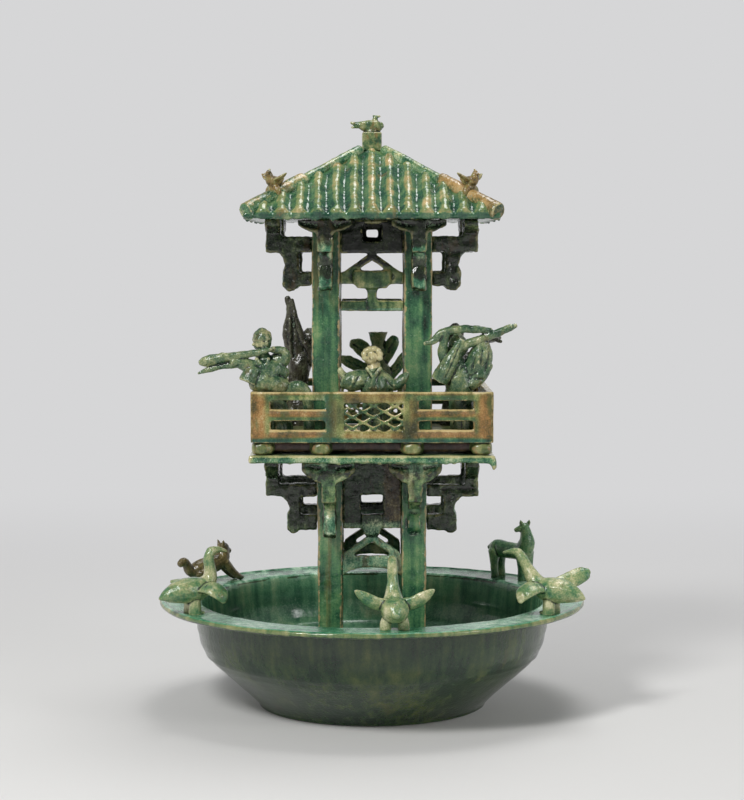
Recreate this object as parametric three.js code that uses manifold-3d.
// A glazed pottery watchtower standing in a wide-rimmed basin.
// Millimetres, +Z up. The front faces -Y, and the origin is the middle of the basin's underside.
// Heights are stacked: a size of a storey is a rise or a depth above whatever carries it.
// A piece that stands on all four sides is modelled at the front and turned by quarter turns.

import * as THREE from "three";
import { mergeVertices } from "three/addons/utils/BufferGeometryUtils.js";
import Module from "manifold-3d";

const wasm = await Module();
wasm.setup();
const { Manifold } = wasm;

// Clearances
const luteGap = 0.3; // between clay pieces that are luted to each other
const liftGap = 0.3; // between sections that are stacked loose
const joinLap = 1; // how far strips of one piece run into each other

// Basin
const basinHeight = 106;
const rimRadius = 212;
const openingRadius = 170.5;
const basinWall = 6;
const floorThickness = 9;
const flangeThickness = 5;
const lipWidth = 7;
const lipRise = 1.6;
const rimRound = 1.5;
const baseRadius = 112;
const footRound = 4;
const bendRadius = 161; // where the flared foot turns up into the wall
const bendHeight = 46;
const bendSoftness = 15; // how far above the bend the wall is upright
const basinSides = 36;

// Lower storey, from the basin's floor up
const lowerHalf = 53.5; // out to the posts' outer faces
const lowerPostTop = 25;
const lowerPostFoot = 22;
const lowerLegRise = 125.7; // clear of the tie beam's ends
const lowerTieDepth = 20;
const lowerTieArch = 9; // how far its underside rises to mid span
const tieArchHandle = 0.7; // how near to the posts the arch is steered, as a share of its half width
const lowerStrutFootLift = 3;
const lowerStrutRise = 21;
const lowerBlockDrop = 6; // below the panel's foot
const lowerWindow = { width: 22, sill: 14, height: 19, lintel: 36.7 };
const panelThickness = 8;
const panelSetback = 2; // behind the posts' faces
const strutThickness = 6.5;
const blockWidth = 20;
const blockWaist = 14;
const blockProud = 2.5;

// Brackets: two arms one above the other, measured out from the post and down from what they carry
const lowerBracket = {
  width: 13,
  reach: 50,
  capWidth: 13,
  capRise: 27.2,
  upperArmDepth: 11.5,
  splay: 5,
  lowerReach: 29,
  blockWidth: 12.5,
  waist: 2.5,
  blockRise: 18,
  lowerArmDepth: 15,
  knobDrop: 4,
  boatHalf: 25,
  boatKeel: 19.7,
  boatTip: 7.7,
};
const upperBracket = {
  width: 14,
  reach: 44,
  capWidth: 14,
  capRise: 15.7,
  upperArmDepth: 15,
  splay: 4,
  lowerReach: 28,
  blockWidth: 15.5,
  waist: 2.5,
  blockRise: 19.5,
  lowerArmDepth: 13.5,
  knobDrop: 5,
  boatHalf: 26,
  boatKeel: 11.7,
  boatTip: 5.7,
};
const stubDrop = 9.5; // what is left of the broken arm's block
const scarDepth = 3;

// Deck slab
const deckThickness = 7.5;
const deckHalf = 116.5;
const deckRound = 2;

// Balcony
const padRise = 11.2;
const padRadius = 9.5;
const padInset = 0.5; // of the outermost pads, behind the railing's face
const padPlaces = [-48, 38]; // of the pads between the corners
const trayLift = 2.2;
const trayThickness = 10;
const trayHalf = 102;
const railHalf = 114.5;
const railRise = 48.1;
const railThickness = 6.5;
const slotInner = 44;
const slotOuter = 95.5;
const slotRound = 2;
const slotSill = 12.4;
const slotHeight = 8.4;
const slotGap = 10.9;
const latticeWidth = 56;
const latticeHeight = 27;
const latticeSill = 10.8;
const latticeShift = 1.5; // the lattice sits a little to the right
const latticeCells = 3;
const latticeMeet = 2; // the strips meet this far inside the frame
const stripWidth = 2.2;
const stripThickness = 3.6;

// Upper storey, from the balcony's floor up
const upperHalf = 58;
const upperPost = 27;
const upperLegRise = 121.7;
const upperTieDepth = 10;
const kingPostRise = 16;
const kingPostWidth = 9;
const kingPostFlare = 14;
const upperBeamDepth = 11.5;
const beamBlockWidth = 36;
const beamBlockDrop = 4;
const upperStrutRise = 18.5;
const upperStrutReach = 28;
const upperWindow = { width: 19, sill: 11, height: 17, lintel: 3.7 };

// Roof
const eaveThickness = 5;
const eaveHalf = 120.5;
const roofRise = 63.5;
const hollowHalf = 42;
const hollowTopHalf = 8;
const hollowSill = 14;
const tileRows = 13;
const tilePitch = 17;
const tileRadius = 5.8;
const tileSink = 0.7; // of the tile rows' axes below the slope
const tileProud = 0.8; // how far the tile ends stand out from the eave
const upperRollRadius = 5.4;
const lowerRollRadius = 7.4;
const rollEndRadius = 8.6;
const rollEndThickness = 5;
const rollChange = 93; // along the hip, where the thick roll begins
const hipBirdPlace = 131.5; // along the hip, from the roof's axis
const finialHalf = 10;
const finialTaper = 1;
const finialRise = 17.6;

// People, animals and roof birds are drawn in hundredths of these sizes
const personSize = 100;
const animalSize = 100;
const birdSize = 100;

// Heights worked out from the sizes above
const rimTop = basinHeight + luteGap;
const lowerFoot = floorThickness + liftGap;
const lowerTieFoot = lowerFoot + lowerLegRise;
const lowerTieTop = lowerTieFoot + lowerTieDepth;
const lowerBlockFoot = lowerTieTop + lowerStrutRise;
const lowerPanelFoot = lowerBlockFoot + lowerBlockDrop;
const lowerTop = lowerPanelFoot + lowerWindow.sill + lowerWindow.height + lowerWindow.lintel;
const deckFoot = lowerTop + luteGap;
const padFoot = deckFoot + deckThickness + liftGap;
const padTop = padFoot + padRise;
const trayFoot = padFoot + trayLift;
const trayTop = trayFoot + trayThickness;
const railFoot = padTop + luteGap;
const railTop = railFoot + railRise;
const upperFoot = trayTop + luteGap;
const upperTieFoot = upperFoot + upperLegRise;
const upperTieTop = upperTieFoot + upperTieDepth;
const upperBeamFoot = upperTieTop + kingPostRise;
const upperBeamTop = upperBeamFoot + upperBeamDepth;
const upperPanelFoot = upperBeamTop + upperStrutRise;
const upperTop = upperPanelFoot + upperWindow.sill + upperWindow.height + upperWindow.lintel;
const eaveFoot = upperTop + liftGap;
const slopeFoot = eaveFoot + eaveThickness;
const roofTop = slopeFoot + roofRise;

const quarterTurn = Math.PI / 2;
const hundred = 100;
const sideNames = ["front", "right", "back", "left"];
const cornerNames = ["front_left", "front_right", "back_right", "back_left"];
const endNames = [["left", "right"], ["front", "back"], ["right", "left"], ["back", "front"]];

const greenGlaze = { color: 0x43794f, roughness: 0.25, metalness: 0 };
const darkGlaze = { color: 0x24564a, roughness: 0.22, metalness: 0 };
const paleGlaze = { color: 0x8aa57c, roughness: 0.35, metalness: 0 };
const tileGlaze = { color: 0x6f8f70, roughness: 0.35, metalness: 0 };
const amberGlaze = { color: 0x9c6c38, roughness: 0.35, metalness: 0 };
const bareClay = { color: 0x8a5a42, roughness: 0.7, metalness: 0 };

// Geometry helpers

// A closed manifold-3d solid from a three.js geometry, turned right side out.
function solidOf(geometry) {
  const plain = geometry.clone();
  plain.deleteAttribute("normal");
  plain.deleteAttribute("uv");
  const welded = mergeVertices(plain, 0.001);
  const places = welded.getAttribute("position");
  const corners = welded.index.array;
  const kept = [];
  const a = new THREE.Vector3();
  const b = new THREE.Vector3();
  const c = new THREE.Vector3();
  let volume = 0;
  for (let i = 0; i < corners.length; i += 3) {
    const [first, second, third] = corners.slice(i, i + 3);
    if (first === second || second === third || third === first) {
      continue;
    }
    kept.push(first, second, third);
    a.fromBufferAttribute(places, first);
    b.fromBufferAttribute(places, second);
    c.fromBufferAttribute(places, third);
    volume += a.dot(b.cross(c)) / 6;
  }
  if (volume < 0) {
    kept.reverse();
  }
  const mesh = new wasm.Mesh({
    numProp: 3,
    vertProperties: new Float32Array(places.array),
    triVerts: new Uint32Array(kept),
  });
  return new Manifold(mesh);
}

function join(...solids) {
  return Manifold.union(solids.flat(2));
}

function shapeOf(points) {
  return new THREE.Shape(points.map(([across, up]) => new THREE.Vector2(across, up)));
}

// The left half of an outline with its mirror image after it.
function mirrored(left) {
  const right = left.map(([across, up]) => [-across, up]);
  return shapeOf([...left, ...right.reverse()]);
}

// A profile of [radius, height] pairs turned about the Z axis.
function turned(outline, sides) {
  const points = outline.map(([radius, height]) => new THREE.Vector2(radius, height));
  const geometry = new THREE.LatheGeometry(points, sides);
  geometry.rotateX(quarterTurn);
  return solidOf(geometry);
}

// A shape drawn in X and Z, standing between y = front and y = front + depth.
function standing(shape, front, depth, curveSegments = 3) {
  const geometry = new THREE.ExtrudeGeometry(shape, { depth, bevelEnabled: false, curveSegments });
  geometry.rotateX(quarterTurn);
  geometry.translate(0, front + depth, 0);
  return solidOf(geometry);
}

// A shape drawn in X and Y, lying between z = foot and z = foot + depth.
function lying(shape, foot, depth) {
  const geometry = new THREE.ExtrudeGeometry(shape, { depth, bevelEnabled: false });
  geometry.translate(0, 0, foot);
  return solidOf(geometry);
}

// A shape drawn as out from the post's face and up, as wide as the arm, centred on x = 0.
function sideways(shape, face, width) {
  const geometry = new THREE.ExtrudeGeometry(shape, { depth: width, bevelEnabled: false, curveSegments: 3 });
  const turn = new THREE.Matrix4().makeBasis(
    new THREE.Vector3(0, -1, 0),
    new THREE.Vector3(0, 0, 1),
    new THREE.Vector3(-1, 0, 0),
  );
  geometry.applyMatrix4(turn);
  geometry.translate(width / 2, face, 0);
  return solidOf(geometry);
}

function box(width, depth, height, centre) {
  const geometry = new THREE.BoxGeometry(width, depth, height);
  geometry.translate(...centre);
  return solidOf(geometry);
}

// A square frustum with its corners on the X and Y axes.
function frustum(footHalf, topHalf, foot, height) {
  const root = Math.SQRT2;
  const geometry = new THREE.CylinderGeometry(topHalf * root, footHalf * root, height, 4);
  geometry.rotateX(quarterTurn);
  geometry.translate(0, 0, foot + height / 2);
  return solidOf(geometry);
}

function ball(centre, radii, around = 7, down = 5) {
  const geometry = new THREE.SphereGeometry(1, around, down);
  geometry.rotateX(quarterTurn);
  geometry.scale(...radii);
  geometry.translate(...centre);
  return solidOf(geometry);
}

// A bar of clay rolled along [x, y, z, radius] points: a cylinder whose rings are moved to the points.
// Its section is an oval, `ratio` times as thick in the direction of `side` as it is wide.
function rolled(points, sides = 6, side = [0, 1, 0], ratio = 1) {
  const last = points.length - 1;
  const geometry = new THREE.CylinderGeometry(1, 1, last, sides, last);
  const places = geometry.getAttribute("position");
  const centres = points.map(([x, y, z]) => new THREE.Vector3(x, y, z));
  const rings = centres.map((centre, index) => {
    const before = centres[Math.max(index - 1, 0)];
    const after = centres[Math.min(index + 1, last)];
    const along = after.clone().sub(before).normalize();
    const across = new THREE.Vector3(...side).cross(along).normalize();
    const through = along.clone().cross(across);
    return { centre, across, through, radius: points[index][3] };
  });
  for (let i = 0; i < places.count; i += 1) {
    const ring = rings[Math.round(last / 2 + places.getY(i))];
    const place = ring.centre.clone()
      .addScaledVector(ring.across, places.getX(i) * ring.radius)
      .addScaledVector(ring.through, places.getZ(i) * ring.radius * ratio);
    places.setXYZ(i, place.x, place.y, place.z);
  }
  return solidOf(geometry);
}

// The same bar on both sides of the plane y = 0.
function pair(points, sides, side, ratio) {
  const bar = rolled(points, sides, side, ratio);
  return [bar, bar.mirror([0, 1, 0])];
}

// A named mesh with its own glaze from a solid.
function piece(name, solid, glaze) {
  const mesh = solid.getMesh();
  const geometry = new THREE.BufferGeometry();
  geometry.setAttribute("position", new THREE.BufferAttribute(mesh.vertProperties, 3));
  geometry.setIndex(new THREE.BufferAttribute(mesh.triVerts, 1));
  geometry.computeVertexNormals();
  const material = new THREE.MeshStandardMaterial({ ...glaze, flatShading: true });
  const made = new THREE.Mesh(geometry, material);
  made.name = name;
  return made;
}

function quarter(turn) {
  const group = new THREE.Group();
  group.rotation.z = turn * quarterTurn;
  return group;
}

// Basin

function basin() {
  const neckRadius = openingRadius + basinWall;
  const flangeFoot = basinHeight - flangeThickness;
  const upright = bendHeight + bendSoftness;
  const outerWall = new THREE.QuadraticBezierCurve(
    new THREE.Vector2(bendRadius, bendHeight),
    new THREE.Vector2(neckRadius, upright),
    new THREE.Vector2(neckRadius, flangeFoot),
  );
  const innerWall = new THREE.QuadraticBezierCurve(
    new THREE.Vector2(openingRadius - rimRound, flangeFoot),
    new THREE.Vector2(openingRadius - rimRound, upright),
    new THREE.Vector2(bendRadius - basinWall, bendHeight + basinWall / 2),
  );
  const asPairs = (points) => points.map((point) => [point.x, point.y]);
  const outline = [
    [0, 0],
    [baseRadius, 0],
    [baseRadius + footRound, footRound],
    ...asPairs(outerWall.getPoints(3)),
    [rimRadius - lipWidth, flangeFoot],
    [rimRadius, flangeFoot + flangeThickness / 2],
    [rimRadius - rimRound, basinHeight + lipRise],
    [rimRadius - lipWidth + rimRound, basinHeight + lipRise],
    [rimRadius - lipWidth, basinHeight],
    [openingRadius + rimRound, basinHeight],
    ...asPairs(innerWall.getPoints(3)),
    [baseRadius - basinWall, floorThickness + rimRound],
    [baseRadius - basinWall - footRound, floorThickness],
    [0, floorThickness],
  ];
  return turned(outline, basinSides);
}

// Storeys

// A square post with its outer top corner at (-half, -half).
function post(half, footWidth, topWidth, foot, top) {
  const geometry = new THREE.BoxGeometry(topWidth, topWidth, top - foot);
  const places = geometry.getAttribute("position");
  for (let i = 0; i < places.count; i += 1) {
    if (places.getZ(i) < 0) {
      places.setX(i, places.getX(i) * footWidth / topWidth);
      places.setY(i, places.getY(i) * footWidth / topWidth);
    }
  }
  const centre = half - topWidth / 2;
  geometry.translate(-centre, -centre, (foot + top) / 2);
  return solidOf(geometry);
}

const lowerCentre = lowerHalf - lowerPostTop / 2;
const upperCentre = upperHalf - upperPost / 2;

// Half the clear width between two posts at a height.
function lowerClear(height) {
  const share = (height - lowerFoot) / (lowerTop - lowerFoot);
  const width = lowerPostFoot + (lowerPostTop - lowerPostFoot) * share;
  return lowerCentre - width / 2 - luteGap;
}

function upperClear() {
  return upperCentre - upperPost / 2 - luteGap;
}

// A panel between the posts, with its window cut through.
function panel(clear, foot, window, front) {
  const top = foot + window.sill + window.height + window.lintel;
  const sheet = mirrored([[-clear(foot), foot], [-clear(top), top]]);
  const middle = foot + window.sill + window.height / 2;
  const opening = box(window.width, 4 * panelThickness, window.height, [0, front, middle]);
  return standing(sheet, front, panelThickness).subtract(opening);
}

// Two strips that lean on each other from their feet up to the apex.
function strut(reach, foot, apex, front) {
  const under = strutThickness * Math.hypot(reach, apex - foot) / reach;
  const strips = shapeOf([[-reach, foot - under], [0, apex - under], [reach, foot - under], [reach, foot],
    [0, apex], [-reach, foot]]);
  return standing(strips, front, panelThickness);
}

function lowerFrame() {
  const front = -lowerHalf + panelSetback;
  const clear = lowerClear(lowerTieFoot);
  const tie = new THREE.Shape();
  const crown = lowerTieFoot + lowerTieArch * 4 / 3; // a cubic's middle is three quarters of the way up
  tie.moveTo(-clear, lowerTieFoot);
  const handle = clear * tieArchHandle;
  tie.bezierCurveTo(-handle, crown, handle, crown, clear, lowerTieFoot);
  tie.lineTo(lowerClear(lowerTieTop), lowerTieTop);
  tie.lineTo(-lowerClear(lowerTieTop), lowerTieTop);
  const strutFoot = lowerTieTop + lowerStrutFootLift;
  const sill = lowerPanelFoot + lowerWindow.sill;
  const block = mirrored([
    [-blockWidth / 2, sill],
    [-blockWidth / 2, lowerPanelFoot + lowerBlockDrop / 2],
    [-blockWaist / 2, lowerBlockFoot],
  ]);
  return join(
    panel(lowerClear, lowerPanelFoot, lowerWindow, front),
    standing(tie, front, panelThickness, 6),
    strut(lowerClear(strutFoot) - joinLap, strutFoot, lowerBlockFoot + joinLap, front),
    standing(block, front - blockProud, panelThickness),
  );
}

function upperFrame() {
  const front = -upperHalf + panelSetback;
  const clear = upperClear();
  const bar = (foot, top) => mirrored([[-clear, foot], [-clear, top]]);
  const king = mirrored([
    [-kingPostWidth / 2, upperTieTop - joinLap],
    [-kingPostWidth / 2, upperBeamFoot - kingPostRise / 2],
    [-kingPostFlare / 2, upperBeamFoot + joinLap],
  ]);
  const block = mirrored([
    [-beamBlockWidth / 2, upperBeamTop + joinLap],
    [-beamBlockWidth / 2, upperBeamFoot + joinLap],
    [-beamBlockWidth / 2 + beamBlockDrop, upperBeamFoot - beamBlockDrop],
  ]);
  const beamMiddle = (upperBeamFoot + upperBeamTop) / 2;
  const upright = strut(upperStrutReach, upperBeamTop, upperPanelFoot + joinLap, front);
  return join(
    standing(bar(upperTieFoot, upperTieTop), front, panelThickness),
    standing(king, front, panelThickness),
    standing(bar(upperBeamFoot, upperBeamTop), front, panelThickness),
    standing(block, front - blockProud, panelThickness),
    upright.trimByPlane([0, 0, 1], beamMiddle),
    panel(upperClear, upperPanelFoot, upperWindow, front),
  );
}

// Two bracket arms with a waisted block between them, which ends in a knob, and a cap on top.
function bracketProfile(size, top) {
  const upperArmTop = top - size.capRise;
  const upperArmFoot = upperArmTop - size.upperArmDepth;
  const lowerArmTop = upperArmFoot - size.blockRise;
  const lowerArmFoot = lowerArmTop - size.lowerArmDepth;
  const blockFace = size.lowerReach - size.blockWidth;
  const shape = new THREE.Shape();
  shape.moveTo(0, lowerArmFoot);
  shape.lineTo(blockFace, lowerArmFoot);
  shape.quadraticCurveTo(blockFace + size.blockWidth / 2, lowerArmFoot - 2 * size.knobDrop, size.lowerReach,
    lowerArmFoot);
  shape.lineTo(size.lowerReach, lowerArmTop);
  shape.lineTo(size.lowerReach - size.waist, lowerArmTop + size.blockRise / 3);
  shape.lineTo(size.lowerReach, upperArmFoot - size.splay);
  shape.lineTo(size.lowerReach + size.splay, upperArmFoot);
  shape.lineTo(size.reach, upperArmFoot);
  shape.lineTo(size.reach, top);
  shape.lineTo(size.reach - size.capWidth, top);
  shape.lineTo(size.reach - size.capWidth, upperArmTop);
  shape.lineTo(0, upperArmTop);
  shape.lineTo(0, upperArmFoot);
  shape.lineTo(blockFace, upperArmFoot);
  shape.lineTo(blockFace, lowerArmTop);
  shape.lineTo(0, lowerArmTop);
  return shape;
}

// A boat-shaped cross-arm on the cap.
function boat(size, top, front) {
  const flat = size.width / 2;
  const bow = (size.boatHalf + flat) / 2;
  const shape = new THREE.Shape();
  shape.moveTo(-size.boatHalf, top);
  shape.lineTo(-size.boatHalf, top - size.boatTip);
  shape.quadraticCurveTo(-bow, top - size.boatKeel, -flat, top - size.boatKeel);
  shape.lineTo(flat, top - size.boatKeel);
  shape.quadraticCurveTo(bow, top - size.boatKeel, size.boatHalf, top - size.boatTip);
  shape.lineTo(size.boatHalf, top);
  return standing(shape, front, size.capWidth);
}

function bracket(size, top, half) {
  const face = -half - luteGap;
  return join(sideways(bracketProfile(size, top), face, size.width), boat(size, top, face - size.reach));
}

// The front right bracket has lost its lower arm: a tapering stub of the block hangs from the upper one.
function brokenBracket(size, top, half) {
  const armFoot = top - size.capRise - size.upperArmDepth;
  const face = -half - luteGap;
  const cut = box(4 * size.reach, 4 * size.reach, size.capRise * 4, [0, face, armFoot - size.capRise * 2]);
  const blockFace = size.lowerReach - size.blockWidth;
  const stub = shapeOf([
    [blockFace, armFoot + joinLap],
    [blockFace + size.waist, armFoot - stubDrop * 0.7],
    [blockFace + size.blockWidth * 0.7, armFoot - stubDrop],
    [size.lowerReach, armFoot - stubDrop / 2],
    [size.lowerReach + size.splay, armFoot + joinLap],
  ]);
  return join(bracket(size, top, half).subtract(cut), sideways(stub, face, size.width));
}

// What is left of the broken arm on its post.
function armScar(size, top, half) {
  const armTop = top - size.capRise - size.upperArmDepth - size.blockRise;
  const armFoot = armTop - size.lowerArmDepth;
  const scar = shapeOf([
    [-scarDepth, armFoot],
    [scarDepth * 0.7, armFoot],
    [scarDepth, (armFoot + armTop) / 2],
    [scarDepth * 0.6, armTop],
    [-scarDepth, armTop],
  ]);
  return sideways(scar, -half, size.width - joinLap);
}

function deck() {
  const half = deckHalf - deckRound;
  const square = shapeOf([[-half, -half], [half, -half], [half, half], [-half, half]]);
  const geometry = new THREE.ExtrudeGeometry(square, {
    depth: deckThickness - 2 * deckRound,
    bevelThickness: deckRound,
    bevelSize: deckRound,
    bevelSegments: 3,
  });
  geometry.translate(0, 0, deckFoot + deckRound);
  return solidOf(geometry);
}

// Balcony

// The floor lies on squashed pellets of clay, which also carry the railing.
function tray() {
  const plate = box(2 * trayHalf, 2 * trayHalf, trayThickness, [0, 0, (trayFoot + trayTop) / 2]);
  const pellet = turned([[0, padFoot], [padRadius, padFoot], [padRadius, padTop], [0, padTop]], 8);
  const edge = railHalf - padInset - padRadius;
  const pads = [];
  for (let turn = 0; turn < 4; turn += 1) {
    for (const place of [-edge, ...padPlaces]) {
      pads.push(pellet.translate([place, -edge, 0]).rotate([0, 0, 90 * turn]));
    }
  }
  return join(plate, pads);
}

// A slot with rounded corners.
function slot(from, to, foot) {
  const low = foot + slotRound;
  const high = foot + slotHeight - slotRound;
  const shape = new THREE.Shape();
  shape.absarc(to - slotRound, low, slotRound, -quarterTurn, 0, false);
  shape.absarc(to - slotRound, high, slotRound, 0, quarterTurn, false);
  shape.absarc(from + slotRound, high, slotRound, quarterTurn, 2 * quarterTurn, false);
  shape.absarc(from + slotRound, low, slotRound, 2 * quarterTurn, 3 * quarterTurn, false);
  shape.closePath();
  return standing(shape, -railHalf - railThickness, 3 * railThickness, 2);
}

// What lies between the two diagonals in front of the axis, a gap away from each.
function frontSector(reach, gap, foot, height) {
  const offset = gap * Math.SQRT2;
  return lying(shapeOf([[-reach + offset, -reach], [reach - offset, -reach], [0, -offset]]), foot, height);
}

// A railing side, mitred at its ends, with two slots left and right of the lattice.
function rail() {
  const sheet = mirrored([[-railHalf, railFoot], [-railHalf, railTop]]);
  const slots = [0, slotHeight + slotGap].map((lift) => {
    const foot = railFoot + slotSill + lift;
    return [slot(slotInner, slotOuter, foot), slot(-slotOuter, -slotInner, foot)];
  });
  const middle = [latticeShift, -railHalf + railThickness / 2, railFoot + latticeSill + latticeHeight / 2];
  const opening = box(latticeWidth, 3 * railThickness, latticeHeight, middle);
  const sector = frontSector(railHalf, luteGap / 2, railFoot - railRise, 3 * railRise);
  const cut = standing(sheet, -railHalf, railThickness).subtract(join(slots, opening));
  return join(cut.intersect(sector), lattice(middle));
}

// Strips crossing both ways, which leave lozenge openings.
function lattice(middle) {
  const rise = (latticeHeight + 2 * latticeMeet) / latticeCells;
  const run = (latticeWidth + 2 * latticeMeet) / latticeCells;
  const angle = Math.atan2(rise, run) * 180 / Math.PI;
  const length = 2 * latticeWidth;
  const strips = [];
  for (let step = 1 - latticeCells; step < latticeCells; step += 1) {
    for (const lean of [-angle, angle]) {
      const strip = box(length, stripThickness, stripWidth, [0, 0, 0]).rotate([0, lean, 0]);
      strips.push(strip.translate([middle[0], middle[1], middle[2] + step * rise]));
    }
  }
  const frame = box(latticeWidth + joinLap, railThickness, latticeHeight + joinLap, middle);
  return join(strips).intersect(frame);
}

// Roof

const cornerReach = eaveHalf * Math.SQRT2;
const finialReach = finialHalf * Math.SQRT2;

// The height of the hip line at a distance from the axis.
function hipHeight(distance) {
  return slopeFoot + roofRise * (cornerReach - distance) / (cornerReach - finialReach);
}

// Round tile rows down the front slope, cut off along the hips where the rolls lie.
function tiledSlope() {
  const slope = roofRise / (eaveHalf - finialHalf);
  const overhang = 2 * tileRadius;
  const gap = rollEndRadius + 2 * luteGap;
  const room = eaveHalf - gap * Math.SQRT2;
  const rows = [];
  for (let row = 0; row < tileRows; row += 1) {
    const across = (row - (tileRows - 1) / 2) * tilePitch;
    if (Math.abs(across) > room) {
      continue; // a narrower roof has fewer rows
    }
    rows.push(rolled([
      [across, -eaveHalf - overhang, slopeFoot - overhang * slope - tileSink, tileRadius],
      [across, -finialHalf, roofTop - tileSink, tileRadius],
    ], 6, [1, 0, 0]));
  }
  const reach = eaveHalf + tileProud;
  return join(rows).intersect(frontSector(reach, gap, eaveFoot - tileProud, 2 * roofRise));
}

function roof() {
  const eave = box(2 * eaveHalf, 2 * eaveHalf, eaveThickness, [0, 0, eaveFoot + eaveThickness / 2]);
  const cover = frustum(eaveHalf, finialHalf, slopeFoot, roofRise).rotate([0, 0, 45]);
  const hollowRise = roofRise * (hollowHalf - hollowTopHalf) / (eaveHalf - finialHalf);
  const hollow = frustum(hollowHalf, hollowTopHalf, eaveFoot + hollowSill, hollowRise).rotate([0, 0, 45]);
  const well = box(2 * hollowHalf, 2 * hollowHalf, 2 * hollowSill, [0, 0, eaveFoot]);
  const slopes = [0, 1, 2, 3].map((turn) => tiledSlope().rotate([0, 0, 90 * turn]));
  return join(eave, cover, slopes).subtract(join(hollow, well.translate([0, 0, luteGap])));
}

// A hip roll in a frame where the hip runs out along +X.
// It is thin at the top and thick below, with a disc at its end.
function hip() {
  const at = (distance, lift, radius) => [distance, 0, hipHeight(distance) + lift, radius];
  const end = cornerReach - rimRound;
  const top = finialReach + joinLap;
  const thin = [at(top, joinLap, upperRollRadius), at(rollChange + joinLap, joinLap, upperRollRadius)];
  const thick = [at(rollChange, joinLap, lowerRollRadius), at(end - joinLap, joinLap, lowerRollRadius)];
  const disc = [at(end - rollEndThickness, 0, rollEndRadius), at(end, 0, rollEndRadius)];
  const seat = frustum(eaveHalf, finialHalf, slopeFoot + luteGap, roofRise);
  const below = box(4 * eaveHalf, 4 * eaveHalf, roofRise, [0, 0, slopeFoot + luteGap - roofRise / 2]);
  return join([thin, thick, disc].map((bar) => rolled(bar, 9))).subtract(join(seat, below));
}

// A small bird with spread wings that faces out along +X, on a strap of clay over the roll.
function hipBird() {
  const bird = join(
    rolled([[0.4, 0.3, -6, 3.6], [0.4, 0.3, 5, 4]], 5),
    rolled([
      [-12, 0, 9, 1.8], [-5, 0, 6.4, 4.4], [2, 0, 6, 5], [5, 0, 9.5, 4], [6, 0, 14, 2.8], [6, 0, 17, 1.2],
    ], 5),
    rolled([[6, 0, 13.5, 2.2], [12, 0, 12.5, 1]], 4),
    pair([[1, 1.6, 7, 3.8], [0, 10, 9.5, 3.6], [-1, 16.5, 13.5, 1.6]], 4, [0, 0, 1], 0.5),
    pair([[0.2, 2, 1, 3], [0.2, 6.2, -3, 2.4]], 5, [1, 0, 0]),
  ).scale(birdSize / hundred);
  const foot = hipHeight(hipBirdPlace) + lowerRollRadius + joinLap;
  const seat = hip().translate([0, 0, luteGap]);
  return bird.translate([hipBirdPlace, 0, foot]).subtract(seat);
}

// A square block on the roof's top, with a bird that faces right.
function finial() {
  const foot = roofTop + luteGap;
  const block = frustum(finialHalf, finialHalf - finialTaper, foot, finialRise).rotate([0, 0, 45]);
  const bird = join(
    rolled([[0, 0, -2, 7], [0, 0, 4, 6]]),
    rolled([
      [-21, 0, 9.5, 1.4], [-14, 0, 7.5, 3.2], [-8, 0, 6, 5.4],
      [0, 0, 5.6, 6], [7, 0, 6.2, 5.6], [11, 0, 8, 2],
    ], 7),
    rolled([[3, 0, 8, 3.8], [3, 0, 13, 2.8], [3.4, 0, 17, 1.6], [3.6, 0, 17.9, 0.9]]),
    rolled([[3.4, 0, 15.4, 1.8], [8.6, 0, 15.6, 0.9]], 4),
  ).scale(birdSize / hundred);
  return join(block, bird.translate([0, 0, foot + finialRise]));
}

// Figures on the balcony, drawn as they stand, with z = 0 at their feet

// A robe that spreads at the floor and runs up into the neck.
function robe(rings) {
  return rolled([[0, 0, 0, 15.5], [0, 0, 16, 14], ...rings], 7);
}

// An open sleeve that hangs down from its middle point to its hem, with a hollow that widens to the hem.
function sleeve(top, middle, hem) {
  const narrow = 0.45;
  const wide = 0.75;
  const past = hem.map((value, axis) => value + (value - middle[axis]) * 0.15);
  const hollow = [[...middle.slice(0, 3), middle[3] * narrow], [...past.slice(0, 3), hem[3] * wide]];
  return rolled([top, middle, hem], 6).subtract(rolled(hollow, 6));
}

// A head with a round cap on it.
function cappedHead(x, y, z) {
  return [
    ball([x, y, z], [9.2, 8.6, 9.8]),
    rolled([[x, y, z + 3, 9.7], [x, y, z + 9, 7.8], [x, y, z + 13.7, 2.8]], 7),
  ];
}

// Leans out over the left corner and aims a level crossbow to the left, one knee bent.
function levelArcher() {
  return join(
    robe([[-2, 0, 38, 9.5], [-6, 0, 52, 11.5], [-11, 0, 64, 13], [-13, 0, 73, 10], [-14, 0, 88, 4.5]]),
    rolled([[-24, -4, 67, 5], [-13, 0, 69, 9.5], [-2, 2, 68, 9.5], [7, 2, 65, 5]], 6, [0, 1, 0], 0.9),
    cappedHead(-14.5, -1, 93),
    rolled([
      [-3, -9, 88, 1.8], [-14, -9, 84.5, 3], [-42, -9, 80, 4], [-58, -9, 77.6, 5.2], [-69, -9, 75, 4.8],
      [-74, -9, 74, 2.6],
    ], 6),
    rolled([[-19, -4, 69, 6.6], [-30, -7, 72, 6.2], [-42, -9, 76, 4.8]]),
    rolled([[-32, -6.6, 73, 3.8], [-52, -7, 70.6, 3.2], [-64, -7, 67.6, 2.9], [-75.6, -7, 63.6, 1.2]], 5),
    sleeve([-20, -7, 68, 6.6], [-25, -9, 62, 8.2], [-28, -10, 55.5, 9]),
    rolled([[-2, 3, 70, 7], [7, 0, 77, 5.6], [5, -3, 85, 4.2], [-5, -7, 86, 3]]),
    rolled([[-1, 1.3, 40, 8.6], [13, 1, 48, 7.6], [24, 1, 48, 6.6], [29, 1, 34, 5.4], [30, 1, 4, 5.8]]),
  );
}

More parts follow.
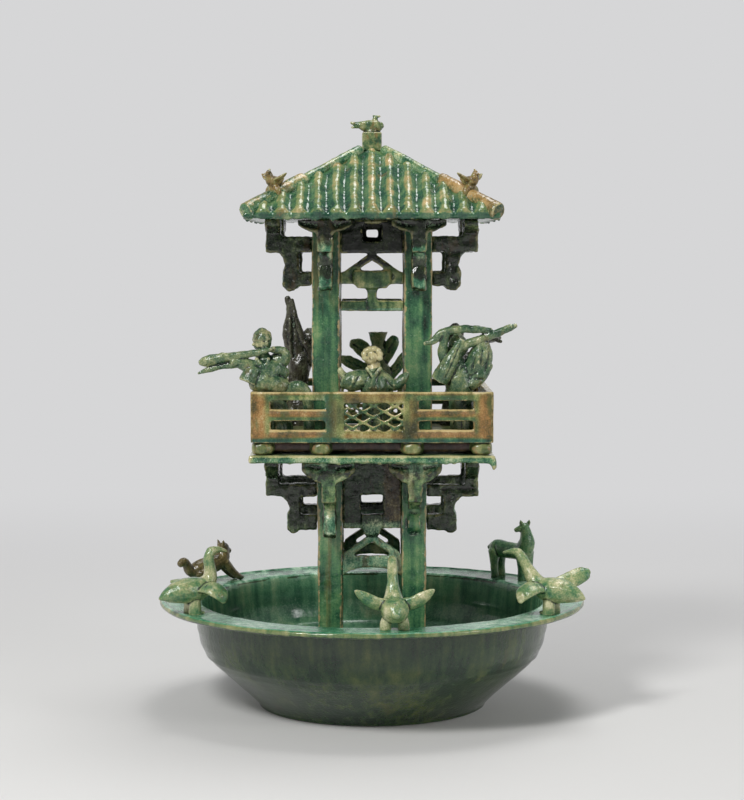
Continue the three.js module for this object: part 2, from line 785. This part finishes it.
// Raises both arms to hold a crossbow that points up to the right, the bow bent over the head.
function raisingArcher() {
  return join(
    robe([[-3, 0, 38, 9], [-6, 0, 52, 10.5], [-7, 0, 64, 11.5], [-6.6, 0, 72, 8.8], [-6, 1.6, 81, 4.6]]),
    cappedHead(-6, 2.4, 87),
    rolled([
      [-38, -10, 92, 1.8], [-29, -11, 95, 3.6], [-21, -11, 103, 3.8], [-1, -11, 106, 3.9],
      [14, -11, 105.5, 3.7], [25, -10, 105, 2.2],
    ], 5),
    rolled([
      [-13, -9, 80, 3.4], [-2, -9, 90, 4.2], [20, -9, 98, 4], [40, -9, 106, 3.6], [49, -9, 109.6, 1.8],
    ], 5),
    rolled([[-10, -1, 64, 7.6], [-19, -6, 74, 6.8], [-22, -9, 86, 5.4], [-18, -11, 101, 4]]),
    sleeve([-17, -6, 76, 5.6], [-22, -8, 65, 7.6], [-25, -8, 55, 8.6]),
    rolled([[2, -1.7, 65, 7.6], [12, -4, 73, 10.6], [17, -4, 82, 10.6], [17, -8, 94, 4.6]], 7),
    rolled([[17, -5, 74, 6], [12, -5, 62, 5.6], [5, -4, 51, 5]]),
  );
}

// Holds a crossbow straight up on a long draped arm.
function uprightArcher() {
  const drape = [
    [-3, 0, 52, 8], [-6, 0, 66, 9], [-9, 0, 82, 9.5], [-9, 0, 98, 9],
    [-10, 0, 112, 6.5], [-12, 0, 124, 4], [-13, 0, 134, 2.4],
  ];
  return join(
    robe([[0, 0, 38, 9.5], [0, 0, 54, 11.5], [1, 0, 64, 12], [4, 0, 72, 9], [9, 0, 81, 4.5]]),
    cappedHead(11, 1, 86.5),
    rolled(drape, 7, [0, 1, 0], 0.65),
    rolled([[5, -7, 82, 2.4], [-1, -7, 108, 3], [-5, -7, 130, 3], [-6, -7, 134, 1.4]], 4),
    rolled([[8, 0, 64, 6.6], [14, -4, 74, 5.4], [7, -7, 86, 3.6]]),
  );
}

// Aims a crossbow out over the back corner.
function backArcher() {
  return join(
    robe([[0, 0, 38, 9.5], [0, 0, 54, 12], [0, 0, 66, 12.5], [0, 0, 75, 9], [0, 0, 86, 4.5]]),
    cappedHead(0, 0, 91.5),
    rolled([[7, 0, 67, 7.4], [18, 2, 69, 7.6], [25, 7, 73, 5.6], [30, 15, 80, 3.6]]),
    rolled([[-7, 2, 67, 7.4], [-5, 13, 71, 6.4], [8, 15, 79, 4]]),
    rolled([[4, 8, 80, 2.6], [24, 20, 84, 3.2], [44, 32, 88, 3], [50, 35.5, 89, 1.4]], 4),
    rolled([[26, 37, 86, 1.4], [35, 29, 88, 3], [43, 21, 88, 3], [49, 11, 86, 1.4]], 4),
  );
}

const dancerRings = [[0, 0, 38, 9.5], [0, 0, 50, 12.5], [0, 0, 60, 12.5], [-1, 0, 68, 7.5], [-1, 0, 75, 5]];

// Bends one broad sleeve up to the left and lifts the other hand to the right, with a large bun of hair.
function bunDancer() {
  return join(
    robe(dancerRings),
    ball([-3, -2, 80], [10.4, 9.4, 9.6], 8, 6),
    rolled([[-6, -1, 58, 8.6], [-18, -3, 57, 10], [-27, -4, 54, 8.6], [-31, -4, 52, 4]], 7),
    rolled([[-25, -4, 56, 3.6], [-32, -4, 64, 3], [-34, -4, 69, 1.4]], 5),
    rolled([[8, -1.6, 57, 7.6], [19, -3, 52, 5], [28, -3, 60, 4], [31, -3, 65, 1.8]]),
  );
}

// Wears a flaring cup hat and lifts long sleeves like petals on both sides.
function cupDancer() {
  const petals = [
    [[-4, 1.2, 62, 5], [-11, 1.2, 74, 7.6], [-20, 1.2, 82, 8], [-28, 1.2, 84.5, 4.6]],
    [[-6, -1.4, 54, 5.4], [-18, -1.4, 60, 6.4], [-30, -1.4, 66, 6.2], [-38, -1.4, 69, 3.6]],
    [[5, -0.8, 64, 5.4], [11, -0.8, 76, 7], [15.4, -0.8, 86, 6.8], [17.4, -0.8, 91, 4]],
    [[7, 1.7, 48, 5.4], [17, 1.7, 56, 5.8], [24, 1.7, 67, 5.2], [28, 1.7, 75, 3]],
  ];
  const hat = rolled([[0, 0, 80, 6.5], [0, 0, 88, 7.5], [0, 0, 97, 10.5]], 7);
  return join(
    robe(dancerRings),
    ball([0, 0, 76], [8.2, 7.8, 8.6]),
    hat.subtract(rolled([[0, 0, 91, 5], [0, 0, 98, 9]], 7)),
    petals.map((petal) => rolled(petal, 5, [0, 1, 0], 0.5)),
  );
}

// Animals on the rim, each facing +X with z = 0 at its feet

// The body and the neck are one roll, and the legs are short.
function goose(body, legRise, wings) {
  return join(
    rolled(body, 8, [0, 1, 0], 1.1),
    pair([[-2, 5.5, -1, 3.8], [-2, 5, legRise + 4, 3.4]], 5),
    wings,
  );
}

// Lifts one wing behind it and lets the other one hang.
function rimGoose(neck) {
  const body = [[-37, 0, 21, 1.2], [-28, 0, 24, 5.5], [-14, 0, 27, 10], [0, 0, 27, 11], [11, 0, 29, 9]];
  const lifted = [
    [-2, -7, 30, 7], [-10, -17, 32, 8.2], [-18, -25, 35, 7.6], [-23.5, -29.5, 37, 4], [-25, -31, 37.5, 1.5],
  ];
  const hanging = [
    [2, 7, 28, 6], [9, 17, 28, 8.5], [14, 25, 24, 8], [16, 29, 19, 4.4], [16.5, 30.5, 16, 1.5],
  ];
  return goose([...body, ...neck], 15, [
    rolled(lifted, 7, [0, 0, 1], 0.55),
    rolled(hanging, 7, [0, 0.5, 0.85], 0.4),
  ]);
}

const uprightNeck = [
  [16.5, 0, 35, 6.4], [16, 0, 44, 5.2], [15, 0, 52, 4.7],
  [18, 0, 58.5, 4.2], [25, 0, 59.5, 3], [34, 0, 57.5, 1.2],
];
const leaningNeck = [
  [18, 0, 35, 6.6], [24, 0, 43, 5.2], [29, 0, 51, 4.6],
  [34, 0, 56, 4.2], [41, 0, 56.5, 2.8], [49, 0, 55, 1.2],
];

// Sits lower and spreads both wings.
function spreadGoose() {
  const body = [[-22, 0, 16, 2], [-15, 0, 19, 9.4], [-4, 0, 20.5, 13], [6, 0, 23, 12.6], [13, 0, 30, 9],
    [17, 0, 40, 6.2], [19, 0, 50, 4.8], [21, 0, 59, 4.6], [26, 0, 62.6, 3.4], [34, 0, 61, 1.4]];
  const wing = [[4, 8, 21, 7], [0, 18, 23.5, 7.6], [-2, 28, 29, 6.6], [-3, 35, 33.5, 3]];
  return goose(body, 7, pair(wing, 6, [0.3, 0, 1], 0.6));
}

// A crouching dog with its forelegs stretched out and a thick tail that curls over.
function dog() {
  return join(
    rolled([
      [-33, 0, 13, 3], [-27, 0, 14, 8.5], [-14, 0, 17, 9.5], [-2, 0, 19, 9], [6, 0, 24, 8.6], [8, 0, 32, 6.6],
    ], 8),
    ball([8.5, 0, 34], [6.6, 6, 6.2]),
    rolled([[9, 0, 34, 4.4], [16, 0, 30.5, 2.8]]),
    pair([[6.5, 3.6, 36, 3], [5.5, 4.6, 43, 1]], 5),
    pair([[7, 5, 20, 4.8], [18, 5.5, 8, 3.8], [26, 5.5, 2.6, 3.4], [30, 5.5, 2, 2]], 5),
    pair([[-24, 5, 12, 7], [-20, 6, 3, 4.6], [-12, 6, 1.5, 3]], 5),
    rolled([[-27, 0, 11, 6], [-35, 0, 14, 5.2], [-38, 0, 20, 4.8], [-42, 0, 24.5, 4.4], [-47, 0, 22, 3.6]]),
  );
}

// A deer that stands with its head up and turned back over its shoulder.
function deer() {
  return join(
    rolled([
      [-29, 0, 30, 4], [-23, 0, 30, 9], [-8, 0, 29, 9], [8, 0, 29, 9], [18, 0, 31, 10], [24, 0, 33, 5],
    ], 8),
    rolled([[16, 0, 30, 9], [20, 0, 40, 8], [19, 0, 49, 5.4], [17, 0, 55, 4.8], [16, 0, 58, 3]], 7),
    rolled([[17, 0, 55, 4.2], [13, -4, 53.5, 3.2], [10, -7, 52, 2.2]], 5),
    rolled([[17, 3, 55, 2.4], [18.5, 4.5, 60, 2.6], [19, 5, 63.5, 1]], 5),
    rolled([[15, -2, 56, 2.4], [14.5, -3, 60, 2.6], [14, -3.5, 63.5, 1]], 5),
    pair([[-20, 5.6, -1, 3.2], [-21.3, 4.8, 27, 5.2]], 5),
    pair([[18, 6, -1, 3.2], [17, 5, 28, 5.4]], 5),
    rolled([[-27, 0, 33, 3.4], [-33, 0, 29, 2.6]], 5),
  );
}

// Assembly

const group = new THREE.Group();

// A place on the flange: an angle from the right side, and a share of the way from the opening to the rim.
function onRim(angle, share) {
  const reach = openingRadius + (rimRadius - openingRadius) * share;
  const turned = angle * Math.PI / 180;
  return [reach * Math.cos(turned), reach * Math.sin(turned)];
}

const leftGoose = rimGoose(uprightNeck).mirror([0, 1, 0]);
const animals = [
  { name: "goose_left", solid: leftGoose, at: onRim(209, 0.57), heading: 29 },
  { name: "goose_front", solid: spreadGoose(), at: onRim(276.5, 0.26), heading: 95 },
  { name: "goose_right", solid: rimGoose(leaningNeck), at: onRim(-29, 0.57), heading: 151 },
  { name: "dog", solid: dog(), at: onRim(147.7, 0.54), heading: 40 },
  { name: "deer", solid: deer(), at: onRim(40.4, 0.61), heading: -45 },
];
// Each figure's place is a share of the balcony floor's half width.
const people = [
  { name: "archer_front_left", solid: levelArcher(), at: [-0.88, -0.88] },
  { name: "archer_front_right", solid: raisingArcher(), at: [0.86, -0.88] },
  { name: "archer_back_right", solid: backArcher(), at: [0.84, 0.86] },
  { name: "archer_back_left", solid: uprightArcher(), at: [-0.745, 0.86] },
  { name: "dancer_front", solid: bunDancer(), at: [0.03, -0.86] },
  { name: "dancer_back", solid: cupDancer(), at: [0.06, 0.84] },
];

const basinSolid = basin();
group.add(piece("basin", basinSolid, darkGlaze));

// The feet are trimmed level and cut clear of the rim's raised lip.
const rimSeat = basinSolid.translate([0, 0, luteGap]);
for (const { name, solid, at, heading } of animals) {
  const sized = solid.scale(animalSize / hundred).trimByPlane([0, 0, 1], 0);
  const placed = sized.rotate([0, 0, heading]).translate([...at, rimTop]).subtract(rimSeat);
  group.add(piece(name, placed, greenGlaze));
}

const brokenSide = 0; // the front
const brokenEnd = 1; // its right end
const scarCorner = 1; // the front right corner

for (let turn = 0; turn < 4; turn += 1) {
  const side = quarter(turn);
  const sideName = sideNames[turn];
  const cornerName = cornerNames[turn];
  const plainPost = post(lowerHalf, lowerPostFoot, lowerPostTop, lowerFoot, lowerTop);
  // The scar faces forward at x = +lowerCentre, which is turned back with its corner's post.
  const scar = armScar(lowerBracket, lowerTop, lowerHalf).translate([lowerCentre, 0, 0]);
  const scarred = join(plainPost, scar.rotate([0, 0, -90 * turn]));
  const lowerPost = turn === scarCorner ? scarred : plainPost;
  side.add(piece(`lower_post_${cornerName}`, lowerPost, greenGlaze));
  side.add(piece(`lower_frame_${sideName}`, lowerFrame(), greenGlaze));
  const upperPostSolid = post(upperHalf, upperPost, upperPost, upperFoot, upperTop);
  side.add(piece(`upper_post_${cornerName}`, upperPostSolid, greenGlaze));
  side.add(piece(`upper_frame_${sideName}`, upperFrame(), greenGlaze));
  side.add(piece(`railing_${sideName}`, rail(), amberGlaze));
  for (const end of [0, 1]) {
    const endName = endNames[turn][end];
    const broken = turn === brokenSide && end === brokenEnd;
    const make = broken ? brokenBracket : bracket;
    const lowerSolid = make(lowerBracket, lowerTop, lowerHalf);
    const lower = piece(`lower_bracket_${sideName}_${endName}`, lowerSolid, greenGlaze);
    lower.position.x = (2 * end - 1) * lowerCentre;
    side.add(lower);
    const upperSolid = bracket(upperBracket, upperTop, upperHalf);
    const upper = piece(`upper_bracket_${sideName}_${endName}`, upperSolid, greenGlaze);
    upper.position.x = (2 * end - 1) * upperCentre;
    side.add(upper);
  }
  group.add(side);
}

group.add(piece("deck_slab", deck(), paleGlaze));
group.add(piece("balcony_floor", tray(), bareClay));
for (const { name, solid, at } of people) {
  const figure = piece(name, solid.scale(personSize / hundred).trimByPlane([0, 0, 1], 0), greenGlaze);
  figure.position.set(at[0] * trayHalf, at[1] * trayHalf, trayTop + luteGap);
  group.add(figure);
}

group.add(piece("roof", roof(), tileGlaze));
for (let turn = 0; turn < 4; turn += 1) {
  const corner = quarter(turn - 1.5);
  corner.add(piece(`hip_roll_${cornerNames[turn]}`, hip(), paleGlaze));
  corner.add(piece(`hip_bird_${cornerNames[turn]}`, hipBird(), darkGlaze));
  group.add(corner);
}
group.add(piece("finial", finial(), darkGlaze));

export default group;
